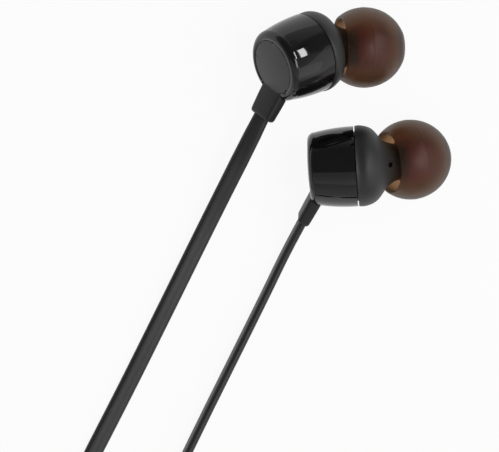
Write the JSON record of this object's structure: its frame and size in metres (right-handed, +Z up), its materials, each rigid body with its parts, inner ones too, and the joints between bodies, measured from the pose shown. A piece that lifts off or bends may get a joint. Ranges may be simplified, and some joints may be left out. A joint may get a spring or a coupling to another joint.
{
  "type": "wired earphones",
  "caption": "Wired in-ear earphones: angled-nozzle earbuds with pull-off silicone tips on flat cords, a junction block, the main cord wound up, and a straight 3.5 mm jack plug.",
  "frame": {"origin": "on the table under the middle of the two earbuds' box", "axes": "+Z up from the table; +X the way the ear tips point, roughly; the cords run towards -Y"},
  "size_m": [0.0795, 0.1262, 0.0144],
  "materials": {
    "inner_plastic": "matte",
    "block_plastic": "satin",
    "boot_rubber": "matte",
    "cord_jacket": "satin",
    "diaphragm_film": "gloss",
    "inner_magnet": "bright",
    "inner_steel": "satin",
    "core_red": "satin",
    "tip_silicone": "satin",
    "front_matte_black": "matte",
    "damper_foam": "matte",
    "mesh_steel": "satin",
    "cap_satin_black": "satin",
    "shell_gloss_black": "gloss",
    "circuit_board": "satin",
    "coil_copper": "satin",
    "spacer_black": "matte",
    "plug_plastic": "satin",
    "contact_metal": "bright"
  },
  "bodies": {
    "earphones": {"junction_core": "inner_plastic", "junction_lower_shell": "block_plastic", "junction_upper_shell": "block_plastic", "left_cable_boot": "boot_rubber", "left_cord_coil": "cord_jacket", "left_cord_free": "cord_jacket", "left_cord_tail": "cord_jacket", "left_diaphragm": "diaphragm_film", "left_driver_frame": "inner_plastic", "left_driver_magnet": "inner_magnet", "left_driver_pole_plate": "inner_steel", "left_driver_yoke": "inner_steel", "left_front_cover": "front_matte_black", "left_nozzle_damper": "damper_foam", "left_nozzle_screen": "mesh_steel", "left_rear_cap": "cap_satin_black", "left_rear_shell": "shell_gloss_black", "left_terminal_board": "circuit_board", "left_voice_coil": "coil_copper", "left_wire_knot": "coil_copper", "main_cord_coil": "cord_jacket", "main_cord_lead": "cord_jacket", "main_cord_tail": "cord_jacket", "plug_core_rod": "inner_steel", "plug_front_spacer": "spacer_black", "plug_handle": "plug_plastic", "plug_rear_spacer": "spacer_black", "plug_ring_contact": "contact_metal", "plug_sleeve_contact": "contact_metal", "plug_strain_relief": "boot_rubber", "plug_tip_contact": "contact_metal", "right_cable_boot": "boot_rubber", "right_cord_coil": "cord_jacket", "right_cord_free": "cord_jacket", "right_cord_tail": "cord_jacket", "right_diaphragm": "diaphragm_film", "right_driver_frame": "inner_plastic", "right_driver_magnet": "inner_magnet", "right_driver_pole_plate": "inner_steel", "right_driver_yoke": "inner_steel", "right_front_cover": "front_matte_black", "right_nozzle_damper": "damper_foam", "right_nozzle_screen": "mesh_steel", "right_rear_cap": "cap_satin_black", "right_rear_shell": "shell_gloss_black", "right_terminal_board": "circuit_board", "right_voice_coil": "coil_copper", "right_wire_knot": "coil_copper"},
    "left_ear_tip": {"left_ear_tip_dome": "tip_silicone", "left_ear_tip_core": "core_red"},
    "right_ear_tip": {"right_ear_tip_dome": "tip_silicone", "right_ear_tip_core": "core_red"}
  },
  "joints": [
    {"name": "left_ear_tip_pull_off", "type": "slide", "parent": "earphones", "child": "left_ear_tip", "axis": [0.9743, 0.1198, -0.191], "range_m": [0, 0.0055]},
    {"name": "right_ear_tip_pull_off", "type": "slide", "parent": "earphones", "child": "right_ear_tip", "axis": [0.9986, 0.0367, -0.0379], "range_m": [0, 0.0055]}
  ]
}
